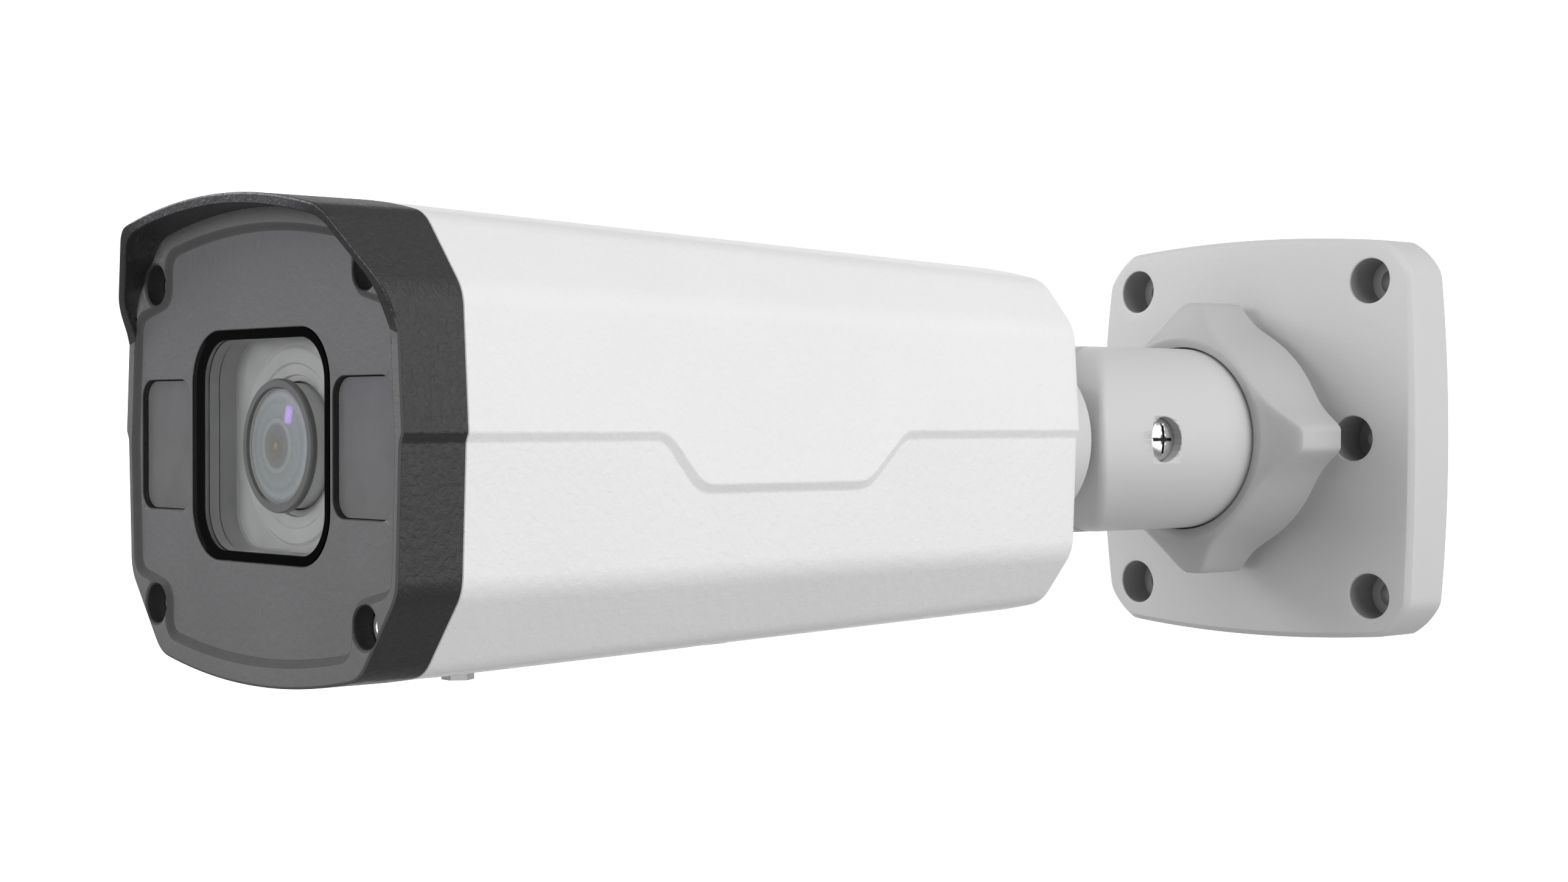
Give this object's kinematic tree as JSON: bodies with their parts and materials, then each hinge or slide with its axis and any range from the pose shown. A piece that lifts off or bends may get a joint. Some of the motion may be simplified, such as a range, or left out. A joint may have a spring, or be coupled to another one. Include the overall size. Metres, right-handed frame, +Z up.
{
  "type": "bullet security camera",
  "caption": "Outdoor bullet security camera with a hooded dark front, tapered white housing, service cover, and a three-axis arm with lock ring on a square wall plate.",
  "frame": {"origin": "centre of the base plate's back face, where it meets the wall", "axes": "+Y into the wall and square to it, so the lens looks along -Y; +Z up; +X to the camera's own left side, with the pivot screw's head"},
  "size_m": [0.087, 0.2724, 0.0888],
  "materials": {
    "bracket_paint": "painted, fine wrinkle, semi-matt",
    "body_paint": "painted, fine wrinkle, semi-matt",
    "cover_paint": "painted, leather grain, semi-matt",
    "rubber": "matt",
    "bright_steel": "bright",
    "steel": "brushed",
    "window_glass": "polished",
    "lens_glass": "coated, polished",
    "mask_black": "printed black",
    "ir_plastic": "satin",
    "shroud_plastic": "matt",
    "black_plastic": "matt",
    "reflector": "vacuum plated",
    "board_green": "lacquered",
    "led_resin": "clear resin",
    "gear_plastic": "natural",
    "motor_steel": "plated",
    "filter_tint": "tinted",
    "sensor_die": "polished",
    "chassis_sheet": "milled",
    "pad_pink": "soft",
    "can_aluminium": "sleeved",
    "button_red": "satin"
  },
  "bodies": {
    "wall_mount": {"base_plate": "bracket_paint", "wall_gasket": "rubber", "cable_grommet": "rubber", "swivel_washer": "steel"},
    "lock_ring": {"lock_ring": "bracket_paint"},
    "arm": {"arm": "bracket_paint", "pivot_washer": "steel"},
    "neck": {"neck": "bracket_paint", "pivot_screw": "bright_steel", "neck_nut": "steel", "neck_washer": "steel", "neck_seal_ring": "rubber", "cable_gland": "black_plastic"},
    "camera": {"housing": "body_paint", "front_cover": "cover_paint", "front_gasket": "rubber", "front_screws": "bright_steel", "window_glass": "window_glass", "window_mask": "mask_black", "window_gasket": "rubber", "ir_window_left": "ir_plastic", "ir_window_right": "ir_plastic", "ir_reflector_left": "reflector", "ir_reflector_right": "reflector", "ir_board_left": "board_green", "ir_board_right": "board_green", "ir_leds_left": "led_resin", "ir_leds_right": "led_resin", "lens_shroud": "shroud_plastic", "light_sensor": "black_plastic", "lens_barrel": "black_plastic", "rear_lens": "lens_glass", "zoom_motor": "motor_steel", "focus_motor": "motor_steel", "filter_holder": "black_plastic", "image_sensor": "sensor_die", "sensor_board": "board_green", "chassis": "chassis_sheet", "chassis_screws": "steel", "main_board": "board_green", "processor": "black_plastic", "heat_pad": "pad_pink", "board_screws": "steel", "power_board": "board_green", "capacitors": "can_aluminium", "network_transformer": "black_plastic", "card_socket": "motor_steel", "reset_switch": "black_plastic"},
    "front_cell": {"front_lens_cell": "black_plastic", "front_lens": "lens_glass"},
    "zoom_ring": {"zoom_ring": "black_plastic"},
    "focus_ring": {"focus_ring": "black_plastic"},
    "zoom_pinion": {"zoom_pinion": "gear_plastic"},
    "focus_pinion": {"focus_pinion": "gear_plastic"},
    "filter_slide": {"filter_slide": "filter_tint"},
    "memory_card": {"memory_card": "black_plastic"},
    "reset_button": {"reset_button": "button_red"},
    "service_cover": {"service_cover": "body_paint", "cover_gasket": "rubber", "cover_screws": "bright_steel"}
  },
  "joints": [
    {"name": "lock_ring_turn", "type": "hinge", "parent": "wall_mount", "child": "lock_ring", "pos_m": [0, -0.028, 0], "axis": [0, 1, 0], "range_deg": [0, 120]},
    {"name": "pan_swivel", "type": "hinge", "parent": "wall_mount", "child": "arm", "pos_m": [0, -0.03, 0], "axis": [0, 1, 0], "range_deg": [-180, 180]},
    {"name": "tilt_pivot", "type": "hinge", "parent": "arm", "child": "neck", "pos_m": [0, -0.0656, 0], "axis": [1, 0, 0], "range_deg": [0, 90]},
    {"name": "body_roll", "type": "hinge", "parent": "neck", "child": "camera", "pos_m": [0, -0.118, 0], "axis": [0, 1, 0], "range_deg": [-180, 180]},
    {"name": "zoom_ring_turn", "type": "hinge", "parent": "camera", "child": "zoom_ring", "pos_m": [0, -0.2439, 0], "axis": [0, 1, 0], "range_deg": [0, 82]},
    {"name": "zoom_pinion_turn", "type": "hinge", "parent": "camera", "child": "zoom_pinion", "pos_m": [-0.01584, -0.2439, 0.01584], "axis": [0, 1, 0], "range_deg": [-300, 0]},
    {"name": "focus_ring_turn", "type": "hinge", "parent": "camera", "child": "focus_ring", "pos_m": [0, -0.2299, 0], "axis": [0, 1, 0], "range_deg": [0, 90]},
    {"name": "focus_pinion_turn", "type": "hinge", "parent": "camera", "child": "focus_pinion", "pos_m": [0.01584, -0.2299, 0.01584], "axis": [0, 1, 0], "range_deg": [-335, 0]},
    {"name": "front_cell_travel", "type": "slide", "parent": "camera", "child": "front_cell", "axis": [0, 1, 0], "range_m": [0, 0.0028]},
    {"name": "filter_shift", "type": "slide", "parent": "camera", "child": "filter_slide", "axis": [1, 0, 0], "range_m": [0, 0.0085]},
    {"name": "card_pull", "type": "slide", "parent": "camera", "child": "memory_card", "axis": [0, -1, 0], "range_m": [0, 0.0145]},
    {"name": "reset_press", "type": "slide", "parent": "camera", "child": "reset_button", "axis": [0, 0, 1], "range_m": [0, 0.0005], "stiffness_N_per_m": 1500},
    {"name": "service_cover_lift", "type": "slide", "parent": "camera", "child": "service_cover", "axis": [0, 0, -1], "range_m": [0, 0.04]}
  ],
  "couplings": [
    {"joint": "zoom_ring_turn", "follows": "front_cell_travel", "rad_per_m": 500},
    {"joint": "zoom_pinion_turn", "follows": "front_cell_travel", "rad_per_m": -1833.3},
    {"joint": "focus_pinion_turn", "follows": "focus_ring_turn", "ratio": -3.6667}
  ]
}
